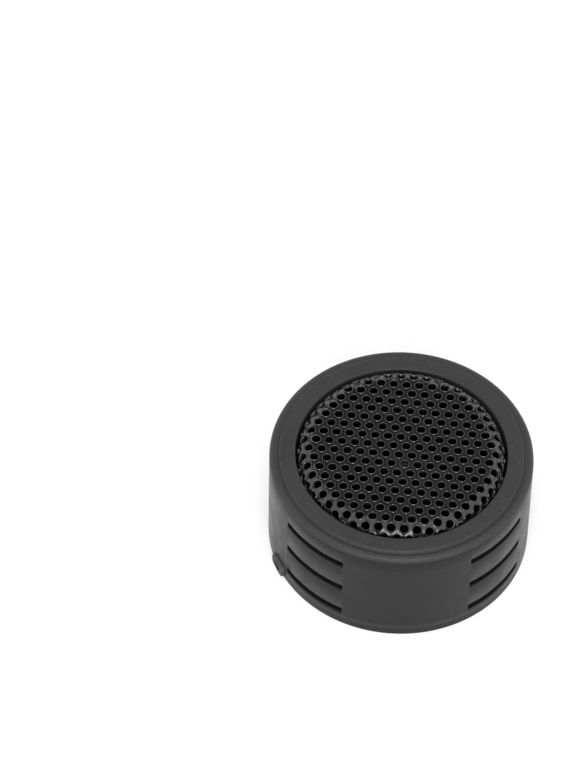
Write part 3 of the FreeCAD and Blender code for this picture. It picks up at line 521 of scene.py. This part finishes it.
bush_shape = bmesh.new()
bush_rings = [bush_ring(bush_shape, outward, shrink) for outward, shrink in (
    (21.0, 0.2), (21.15, 0.0), (24.2, 0.0), (24.42, 0.05), (24.53, 0.14), (24.55, 0.26))]
bush_rings += [bush_ring(bush_shape, outward, 0, bore=True) for outward in (24.5, 24.3, 21.2, 21.0)]
for ring, following in zip(bush_rings, bush_rings[1:] + bush_rings[:1]):
    for step in range(bush_points):
        onward = (step + 1) % bush_points
        bush_shape.faces.new((ring[step], ring[onward], following[onward], following[step]))
bush_mesh = meshed("cable_bush", bush_shape)
bush_mesh.transform(Matrix.Rotation(bush_azimuth, 4, "Z"))
cable_bush = show("cable_bush", bush_mesh, soft_rubber)
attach(cable_bush, "can")
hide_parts("cable_grommet")


# ---------------------------------------------------------------- magnet system
# A zinc-plated steel cup, a nickel-plated neodymium disc glued in it, and a steel pole plate on
# top. They are turned or sintered parts, so the plating shows faint rings from the lathe.

zinc_plate = Finish("zinc_plate", dark=(0.40, 0.40, 0.41), light=(0.56, 0.56, 0.55), patch=2.5,
                    smoothest=0.25, roughest=0.42, grain=0.2, depth=0.004, shader={"Metallic": 1.0})
zinc_plate.emboss(add_node(zinc_plate.tree, "ShaderNodeTexWave", {
    "Vector": zinc_plate.place, "Scale": 1200.0, "Distortion": 0.6}, wave_type="RINGS",
    rings_direction="Z").outputs["Fac"], 0.004)
refinish(zinc_plate, "yoke_cup", "pole_plate")

nickel = Finish("nickel_plate", dark=(0.52, 0.50, 0.47), light=(0.64, 0.62, 0.59), patch=3.0,
                smoothest=0.12, roughest=0.28, grain=0.3, depth=0.003, shader={"Metallic": 1.0})
refinish(nickel, "magnet")

felt = Finish("pressed_felt", dark=(0.035, 0.035, 0.036), light=(0.11, 0.11, 0.11), patch=0.5,
              smoothest=0.9, roughest=1.0, grain=0.12, depth=0.12, shader={"Sheen Weight": 0.4})
refinish(felt, "damping_felt")


# ---------------------------------------------------------------- voice coil
# Two layers of enamelled copper wire, wound on an amber film tube. The dome is glued to the
# tube's upper end, so all three move together in the magnet's gap.

enamelled_copper = Finish("enamelled_copper", dark=(0.50, 0.20, 0.08), light=(0.72, 0.34, 0.15), patch=0.8,
                          smoothest=0.22, roughest=0.38, grain=0.1, depth=0.004,
                          shader={"Metallic": 1.0, "Coat Weight": 0.4})
enamelled_copper.emboss(add_node(enamelled_copper.tree, "ShaderNodeTexWave", {
    "Vector": enamelled_copper.place, "Scale": 2600.0}, wave_type="BANDS",
    bands_direction="Z").outputs["Fac"], 0.03)
refinish(enamelled_copper, "voice_coil")

amber_film = Finish("amber_film", dark=(0.36, 0.17, 0.03), light=(0.52, 0.28, 0.07), patch=2.0,
                    smoothest=0.18, roughest=0.34, grain=0.5, depth=0.006)
refinish(amber_film, "voice_coil_former")


# ---------------------------------------------------------------- dome
# A spherical cap pressed from thin dark polymer film with a satin face. It stands over the
# magnet, behind the middle of the grille, and is glued to the upper end of the coil's tube.

dome_film = Finish("satin_film", dark=(0.020, 0.020, 0.021), light=(0.032, 0.032, 0.033), patch=3.0,
                   smoothest=0.34, roughest=0.46, grain=0.4, depth=0.010, shader={"Specular IOR Level": 0.35})
dome_low, dome_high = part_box("dome")
dome_edge, dome_foot, dome_top = dome_high.x / MM, dome_low.z / MM, dome_high.z / MM
dome_rise, dome_skin = dome_top - dome_foot, 0.2
ball = (dome_edge ** 2 + dome_rise ** 2) / (2 * dome_rise)


def cap(radius, edge, centre, rings=28):
    """Points of a spherical cap from its edge to its top."""
    widest = math.asin(edge / radius)
    return [(radius * math.sin(widest * (1 - ring / rings)),
             centre + radius * math.cos(widest * (1 - ring / rings))) for ring in range(rings + 1)]


inner_ball = ball - dome_skin
outer_face = cap(ball, dome_edge, dome_top - ball)
inner_face = cap(inner_ball, dome_edge - dome_skin * 1.3, dome_top - ball)[::-1]
dome_shell = show("dome_shell", turned("dome_shell", outer_face + inner_face, around=144), dome_film)
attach(dome_shell, "diaphragm")
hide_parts("dome")


# ---------------------------------------------------------------- surround
# A half roll of coated woven cloth. Its outer lip is clamped on the spacer ring; its inner edge
# laps on the dome and is glued there, between the fixed can and the moving dome.

coated_cloth = Finish("coated_cloth", dark=(0.016, 0.016, 0.017), light=(0.030, 0.030, 0.031), patch=1.5,
                      smoothest=0.55, roughest=0.75, grain=0.2, depth=0.01)
for direction in ("X", "Y"):
    coated_cloth.emboss(add_node(coated_cloth.tree, "ShaderNodeTexWave", {
        "Vector": coated_cloth.place, "Scale": 1100.0}, wave_type="BANDS",
        bands_direction=direction).outputs["Fac"], 0.03)

lip_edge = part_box("surround")[1].x / MM
lip_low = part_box("surround")[0].z / MM
cloth, roll_middle, roll_size = 0.18, 11.05, 0.9
roll_steps, inner_lift = 16, 0.42
upper, lower = [], []
for step in range(roll_steps + 1):
    angle = math.pi * step / roll_steps
    sink = inner_lift * step / roll_steps
    upper.append((roll_middle + roll_size * math.cos(angle),
                  lip_low + cloth + sink + roll_size * math.sin(angle)))
    lower.append((roll_middle + (roll_size - cloth) * math.cos(angle),
                  lip_low + sink + (roll_size - cloth) * math.sin(angle)))
lap = [(9.35, 0.02), (9.05, 0.02), (8.75, 0.02)]
on_dome = [(radius, dome_top - ball + math.sqrt(ball ** 2 - radius ** 2) + gap) for radius, gap in lap]
roll_section = ([(lip_edge, lip_low), (lip_edge, lip_low + cloth)] + upper
                + [(radius, level + cloth * 0.8) for radius, level in on_dome]
                + list(reversed(on_dome)) + list(reversed(lower)))
half_roll = show("half_roll", turned("half_roll", roll_section, around=192), coated_cloth, crease=50)
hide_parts("surround")
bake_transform(half_roll)


# ---------------------------------------------------------------- driver faceplate
# A matt black glass-filled moulding that joins the magnet system to the drum's shelf, over a
# foam gasket, with four countersunk screws. Its short horn shows round the surround.

filled_nylon = Finish("filled_nylon", dark=(0.012, 0.012, 0.0125), light=(0.022, 0.022, 0.023), patch=3.0,
                      smoothest=0.50, roughest=0.68, grain=0.3, depth=0.02)
refinish(filled_nylon, "driver_faceplate")
refinish(foam, "driver_gasket")

fibre_board = Finish("fibre_board", dark=(0.15, 0.075, 0.03), light=(0.26, 0.15, 0.07), patch=0.9,
                     smoothest=0.50, roughest=0.70, grain=0.15, depth=0.01)
fibre_board.emboss(fibre_board.noise(0.4, stretch=(0.15, 1.0, 1.0)), 0.012)
refinish(fibre_board, "diaphragm_spacer", "terminal_board")

fixing = carrier_of(screw_mesh(head=1.8, head_low=18.4, head_high=17.6, head_round=0.1, shank=0.85,
                               tip=10.8), "driver_screw")
driver_fixings = show("driver_fixings", grown(
    "driver_fixings", screw_ring, screw=fixing, count=4, circle_radius=screw_circle * MM, seed=9,
    finish=black_zinc.material), black_zinc)
bpy.data.objects.remove(fixing)
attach(driver_fixings, "can")
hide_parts("driver_screws")


# ---------------------------------------------------------------- wiring
# A bipolar capacitor in a shrunk sleeve lies on a foam pad behind the driver. Insulated wires
# join it and the cable bush to two tinned tags, and braided leads go on to the moving coil.

tinned_metal = Finish("tinned_metal", dark=(0.42, 0.41, 0.38), light=(0.62, 0.60, 0.56), patch=0.8,
                      smoothest=0.22, roughest=0.45, grain=0.15, depth=0.008, shader={"Metallic": 1.0})
refinish(tinned_metal, "terminal_positive", "terminal_negative", "tag_rivets", "capacitor_leads")

shrunk_sleeve = Finish("shrunk_sleeve", dark=(0.012, 0.018, 0.060), light=(0.020, 0.030, 0.095), patch=1.8,
                       smoothest=0.22, roughest=0.38, grain=0.6, depth=0.015)
refinish(shrunk_sleeve, "capacitor")
refinish(foam, "capacitor_pad")

red_cover = Finish("red_insulation", dark=(0.26, 0.010, 0.008), light=(0.38, 0.020, 0.015), patch=2.0,
                   smoothest=0.32, roughest=0.48, grain=0.3, depth=0.01)
refinish(red_cover, "supply_wire_positive", "tag_wire_positive")
black_cover = Finish("black_insulation", dark=(0.010, 0.010, 0.010), light=(0.020, 0.020, 0.021), patch=2.0,
                     smoothest=0.32, roughest=0.50, grain=0.3, depth=0.01)
refinish(black_cover, "supply_wire_negative")

braid = Finish("copper_braid", dark=(0.45, 0.20, 0.09), light=(0.66, 0.33, 0.16), patch=0.5,
               smoothest=0.35, roughest=0.55, grain=0.08, depth=0.03, shader={"Metallic": 1.0})
for pole in ("positive", "negative"):
    strand = bmesh.new()
    strand.from_mesh(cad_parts["lead_out_" + pole].data)
    bmesh.ops.remove_doubles(strand, verts=strand.verts, dist=0.0005 * MM)
    lead = show("braided_lead_" + pole, meshed("braided_lead_" + pole, strand), braid, crease=60)
    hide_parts("lead_out_" + pole)
    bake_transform(lead)


# ---------------------------------------------------------------- grille
# Steel sheet 0.5 mm thick, punched with staggered 1.5 mm holes, pressed into a shallow pan and
# powder coated black. Punching leaves a fine raised rim round each hole.

powder_coat = Finish("powder_coat", dark=(0.004, 0.004, 0.0041), light=(0.008, 0.008, 0.0081), patch=4.0,
                     smoothest=0.17, roughest=0.26, grain=0.22, depth=0.010, shader={"IOR": 1.5})
powder_coat.paint(powder_coat.specks(spacing=2.6, size=0.10, share=0.10), (0.16, 0.16, 0.155))

sheet_tree, given = new_tree("punched_sheet", {
    "Pitch": "Float", "Hole Radius": "Float", "Rim Height": "Float", "Gauge": "Float", "Row Turn": "Float",
    "First Hole": "Vector", "Punched Reach": "Float", "Blank Reach": "Float", "Finish": "Material"})
corners, lattice_half = 18, 16


def outline_place(turn, level):
    """The point of a cell's six-sided edge in a direction in degrees, at a level."""
    off_side = sums(sheet_tree, "RADIANS", sums(sheet_tree, "WRAP", turn, 30.0, -30.0))
    reach = sums(sheet_tree, "DIVIDE", sums(sheet_tree, "MULTIPLY", given["Pitch"], 0.5),
                 sums(sheet_tree, "COSINE", off_side))
    turn = sums(sheet_tree, "RADIANS", turn)
    return add_node(sheet_tree, "ShaderNodeCombineXYZ", {
        0: sums(sheet_tree, "MULTIPLY", reach, sums(sheet_tree, "COSINE", turn)),
        1: sums(sheet_tree, "MULTIPLY", reach, sums(sheet_tree, "SINE", turn)), 2: level}).outputs[0]


def cell_outline(fill, level=0.0):
    """The six-sided edge that neighbouring holes share, with three points to a side."""
    loop = add_node(sheet_tree, "GeometryNodeMeshCircle", {"Vertices": corners}, fill_type=fill)
    index = add_node(sheet_tree, "GeometryNodeInputIndex").outputs[0]
    turn = sums(sheet_tree, "MULTIPLY_ADD", index, 360.0 / corners, 180.0 / corners)
    return add_node(sheet_tree, "GeometryNodeSetPosition", {
        "Geometry": loop.outputs[0], "Position": outline_place(turn, level)}).outputs[0]


def drawn_on(cell, last_ring, place):
    """Draws a cell's last ring of edges on to new places: one more band of faces, and its ring."""
    drawn = add_node(sheet_tree, "GeometryNodeExtrudeMesh", {
        "Mesh": cell, "Selection": last_ring, "Offset Scale": 0.0}, mode="EDGES")
    moved = add_node(sheet_tree, "GeometryNodeSetPosition", {
        "Geometry": drawn.outputs["Mesh"], "Selection": drawn.outputs["Top"], "Position": place})
    return moved.outputs[0], drawn.outputs["Top"]


# The rings of a hole, from its raised rim to its foot: radius in hole radii, height in rim
# heights. Then the underside runs back out to the cell's edge, one gauge below.
here = add_node(sheet_tree, "GeometryNodeInputPosition").outputs[0]
flat = add_node(sheet_tree, "ShaderNodeVectorMath", {0: here, 1: (1.0, 1.0, 0.0)}, operation="MULTIPLY")
outward = add_node(sheet_tree, "ShaderNodeVectorMath", {0: flat.outputs[0]}, operation="NORMALIZE")
underside = sums(sheet_tree, "MULTIPLY", given["Gauge"], -1.0)
hole_cell, last_ring = cell_outline("NONE"), True
for wider, lift in ((1.23, 0.0), (1.15, 1.0), (1.08, 0.7), (1.03, -0.4), (1.0, -1.5), (1.0, None)):
    ring = add_node(sheet_tree, "ShaderNodeVectorMath", {
        0: outward.outputs[0], "Scale": sums(sheet_tree, "MULTIPLY", given["Hole Radius"], wider)},
        operation="SCALE")
    level = underside if lift is None else sums(sheet_tree, "MULTIPLY", given["Rim Height"], lift)
    raised = add_node(sheet_tree, "ShaderNodeCombineXYZ", {2: level})
    target = add_node(sheet_tree, "ShaderNodeVectorMath", {0: ring.outputs[0], 1: raised.outputs[0]},
                      operation="ADD")
    hole_cell, last_ring = drawn_on(hole_cell, last_ring, target.outputs[0])
apart = add_node(sheet_tree, "ShaderNodeSeparateXYZ", {0: here}).outputs
bearing = sums(sheet_tree, "DEGREES", sums(sheet_tree, "ARCTAN2", apart[1], apart[0]))
hole_cell, last_ring = drawn_on(hole_cell, last_ring, outline_place(bearing, underside))
plain_cell = add_node(sheet_tree, "GeometryNodeJoinGeometry")
for face in (cell_outline("NGON"), cell_outline("NGON", underside)):
    sheet_tree.links.new(face, plain_cell.inputs[0])

lattice = add_node(sheet_tree, "GeometryNodeMeshGrid", {
    "Size X": 2.0 * lattice_half, "Size Y": 2.0 * lattice_half,
    "Vertices X": 2 * lattice_half + 1, "Vertices Y": 2 * lattice_half + 1})
step = add_node(sheet_tree, "ShaderNodeSeparateXYZ", {
    0: add_node(sheet_tree, "GeometryNodeInputPosition").outputs[0]})
staggered = add_node(sheet_tree, "ShaderNodeCombineXYZ", {
    0: sums(sheet_tree, "MULTIPLY_ADD", step.outputs[1], 0.5, step.outputs[0]),
    1: sums(sheet_tree, "MULTIPLY", step.outputs[1], math.sqrt(3) / 2)})
spaced = add_node(sheet_tree, "ShaderNodeVectorMath", {0: staggered.outputs[0], "Scale": given["Pitch"]},
                  operation="SCALE")
in_rows = add_node(sheet_tree, "ShaderNodeVectorRotate", {
    "Vector": spaced.outputs[0], "Angle": given["Row Turn"]}, rotation_type="Z_AXIS")
centres = add_node(sheet_tree, "ShaderNodeVectorMath", {0: in_rows.outputs[0], 1: given["First Hole"]},
                   operation="ADD")
laid_out = add_node(sheet_tree, "GeometryNodeSetPosition", {
    "Geometry": lattice.outputs[0], "Position": centres.outputs[0]})
from_axis = add_node(sheet_tree, "ShaderNodeVectorMath", {
    0: add_node(sheet_tree, "GeometryNodeInputPosition").outputs[0]}, operation="LENGTH").outputs["Value"]
in_punched = sums(sheet_tree, "LESS_THAN", from_axis, given["Punched Reach"])
in_blank = sums(sheet_tree, "MULTIPLY", sums(sheet_tree, "SUBTRACT", 1.0, in_punched),
                sums(sheet_tree, "LESS_THAN", from_axis, given["Blank Reach"]))
row_turn = add_node(sheet_tree, "ShaderNodeCombineXYZ", {2: given["Row Turn"]}).outputs[0]
both = add_node(sheet_tree, "GeometryNodeJoinGeometry")
for chosen, cell in ((in_punched, hole_cell), (in_blank, plain_cell.outputs[0])):
    copies = add_node(sheet_tree, "GeometryNodeInstanceOnPoints", {
        "Points": laid_out.outputs[0], "Selection": chosen, "Instance": cell, "Rotation": row_turn})
    sheet_tree.links.new(copies.outputs[0], both.inputs[0])
close_tree(sheet_tree, both.outputs[0], given["Finish"])

pan_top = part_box("grille")[1].z / MM
gauge, pan_radius, pan_bend, crown = 0.5, 18.95, 2.65, 0.0005
flat_edge = pan_radius - pan_bend
bend_centre = pan_top - crown * flat_edge ** 2 - pan_bend
bend_length = pan_bend * math.pi / 2
trim_height = 19.9
trimmed_reach = flat_edge + bend_length + bend_centre - trim_height


def pressed(flat_place):
    """Where a point of the flat sheet goes in the pan; its own height stays off the surface."""
    reach = math.hypot(flat_place.x, flat_place.y) / MM
    lift = flat_place.z / MM
    if reach < 1e-6:
        return Vector((0, 0, (pan_top + lift) * MM))
    if reach <= flat_edge:
        radius, level, lean = reach, pan_top - crown * reach ** 2, 0.0
    else:
        lean = min((reach - flat_edge) / pan_bend, math.pi / 2)
        radius = flat_edge + pan_bend * math.sin(lean)
        level = bend_centre + pan_bend * math.cos(lean) - max(0.0, reach - flat_edge - bend_length)
    radius += lift * math.sin(lean)
    level += lift * math.cos(lean)
    grow = radius / reach
    return Vector((flat_place.x * grow, flat_place.y * grow, level * MM))


pan = bmesh.new()
pan.from_mesh(grown(
    "grille_pan", sheet_tree, pitch=2.342 * MM, hole_radius=0.77 * MM, rim_height=0.07 * MM,
    gauge=gauge * MM, row_turn=math.radians(-7.97), first_hole=(-0.58 * MM, -1.18 * MM, 0.0),
    punched_reach=(trimmed_reach - 1.0) * MM, blank_reach=(trimmed_reach + 1.4) * MM,
    finish=powder_coat.material))
for vert in pan.verts:
    vert.co = pressed(vert.co)
bmesh.ops.bisect_plane(pan, geom=[*pan.verts, *pan.edges, *pan.faces], plane_co=(0, 0, trim_height * MM),
                       plane_no=(0, 0, -1), clear_outer=True)

# Known fault: the cut edge should close as a narrow ring between the pan's two faces, but this
# also lays flat faces right across the pan, just under the crown of the dome.
bmesh.ops.bridge_loops(pan, edges=[edge for edge in pan.edges if edge.is_boundary])
grille_pan = show("grille_pan", meshed("grille_pan", pan), powder_coat, crease=48)
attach(grille_pan, "can")
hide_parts("grille")

flange_low, flange_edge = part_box("grille")[0].z / MM, 20.4
grille_flange = show("grille_flange", turned("grille_flange", [
    (pan_radius, trim_height), (pan_radius, flange_low + gauge, 0.35), (flange_edge, flange_low + gauge),
    (flange_edge, flange_low), (pan_radius - gauge, flange_low, 0.8), (pan_radius - gauge, trim_height)]),
    powder_coat)
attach(grille_flange, "can")
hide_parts("grille")


# ---------------------------------------------------------------- front ring
# The bezel, in the drum's ABS, its colour painted a shade lighter than the drum's as painted light on its
# upward faces. A broad flat rim runs out to a rounded shoulder, a shallow valley and a bead at the outer edge.
# Its spigot is glued in the drum, and it clamps the grille.

# The bezel's copy of the same ABS is painted lighter, as painted light on its upward faces.
ring_abs = moulded_abs("ring_abs", tone=0.0155, smoothest=0.38, roughest=0.52)
ring_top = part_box("front_bezel")[1].z / MM
opening, grille_seat_top = 19.27, flange_low + gauge
lip_edge_radius, ceiling = 20.57, 21.58
spigot_inner, spigot_outer, spigot_low = 21.05, 22.15, 19.60
band_low, bead_inner, bead_top = 21.83, 23.02, 22.86
valley_radius, valley_floor, rim_edge = 22.44, 22.66, 22.22
front_ring = show("front_ring", turned("front_ring", [
    (opening, grille_seat_top), (lip_edge_radius, grille_seat_top), (lip_edge_radius, ceiling),
    (spigot_inner, ceiling), (spigot_inner, spigot_low), (spigot_outer, spigot_low, 0.2),
    (spigot_outer, band_low), (drum_radius, band_low, 0.06), (drum_radius, bead_top, 0.92),
    (bead_inner, bead_top, 0.30), (valley_radius, valley_floor, 0.12), (rim_edge, ring_top, 0.42),
    (opening, ring_top, 0.25)], around=384, steps=8), ring_abs)
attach(front_ring, "can")
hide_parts("front_bezel")


# ---------------------------------------------------------------- floor, light and camera
# A white table that the tweeter stands on, lit evenly by a white tent, with one softbox in front
# and a black card behind, which the flat of the grille mirrors. The camera has a long lens.

table_top = Finish("table_top", dark=(0.40, 0.40, 0.40), light=(0.43, 0.43, 0.43), patch=200.0,
                   smoothest=0.75, roughest=0.9, grain=3.0, depth=0.01)
table_top.shader.inputs["Emission Color"].default_value = (1.0, 1.0, 1.0, 1.0)
table_top.shader.inputs["Emission Strength"].default_value = 0.38
half_table = 2.0
floor_shape = bmesh.new()
bmesh.ops.create_grid(floor_shape, x_segments=1, y_segments=1, size=half_table)
floor = show("floor", meshed("floor", floor_shape), table_top)
if floor.data.polygons[0].normal.z < 0:
    floor.data.flip_normals()

tent = bpy.data.worlds.new("tent")
tent.use_nodes = True
tent.node_tree.nodes["Background"].inputs["Color"].default_value = (1.0, 1.0, 1.0, 1.0)
tent.node_tree.nodes["Background"].inputs["Strength"].default_value = 1.7
bpy.context.scene.world = tent


def softbox_place(azimuth, elevation, distance):
    """Where a flat thing stands that faces the tweeter, from an azimuth and elevation in degrees."""
    flat = math.cos(math.radians(elevation))
    toward = Vector((flat * math.cos(math.radians(azimuth)), flat * math.sin(math.radians(azimuth)),
                     math.sin(math.radians(elevation))))
    return Matrix.Translation(toward * distance) @ toward.to_track_quat("Z", "Y").to_matrix().to_4x4()


def softbox(name, azimuth, elevation, distance, wide, high, power):
    """A rectangular light that looks at the tweeter from an azimuth and elevation in degrees."""
    lamp = bpy.data.lights.new(name, "AREA")
    lamp.shape, lamp.size, lamp.size_y, lamp.energy = "RECTANGLE", wide, high, power
    box = bpy.data.objects.new(name, lamp)
    bpy.context.scene.collection.objects.link(box)
    box.matrix_world = softbox_place(azimuth, elevation, distance)


softbox("front_softbox", azimuth=-92, elevation=34, distance=0.9, wide=0.50, high=0.46, power=7.0)
half_card = 0.45
card_shape = bmesh.new()
bmesh.ops.create_grid(card_shape, x_segments=1, y_segments=1, size=half_card)
card_shape.transform(softbox_place(azimuth=90, elevation=52, distance=1.6))
show("black_card", meshed("black_card", card_shape), foam)

lens, film_side, camera_distance = 206.8, 36.0, 0.83466
view_azimuth, view_elevation, roll = math.radians(-2.95), math.radians(51.85), 0.017
aim_up, aim_left = 0.02526, 0.0200
level_right = Vector((1, 0, 0))
level_up = Vector((0, math.sin(view_elevation), math.cos(view_elevation)))
back = Vector((0, -math.cos(view_elevation), math.sin(view_elevation)))
right = level_right * math.cos(roll) + level_up * math.sin(roll)
up = level_up * math.cos(roll) - level_right * math.sin(roll)
aim = up * aim_up - right * aim_left
turn = Matrix.Rotation(view_azimuth, 3, "Z")
axes = Matrix((turn @ right, turn @ up, turn @ back)).transposed()
camera_data = bpy.data.cameras.new("camera")
camera_data.lens, camera_data.sensor_width, camera_data.sensor_fit = lens, film_side, "AUTO"
camera_data.dof.use_dof = False
camera = bpy.data.objects.new("camera", camera_data)
camera.matrix_world = Matrix.Translation(turn @ (aim + back * camera_distance)) @ axes.to_4x4()
bpy.context.scene.collection.objects.link(camera)
bpy.context.scene.camera = camera
bpy.context.scene.view_settings.view_transform = "Standard"
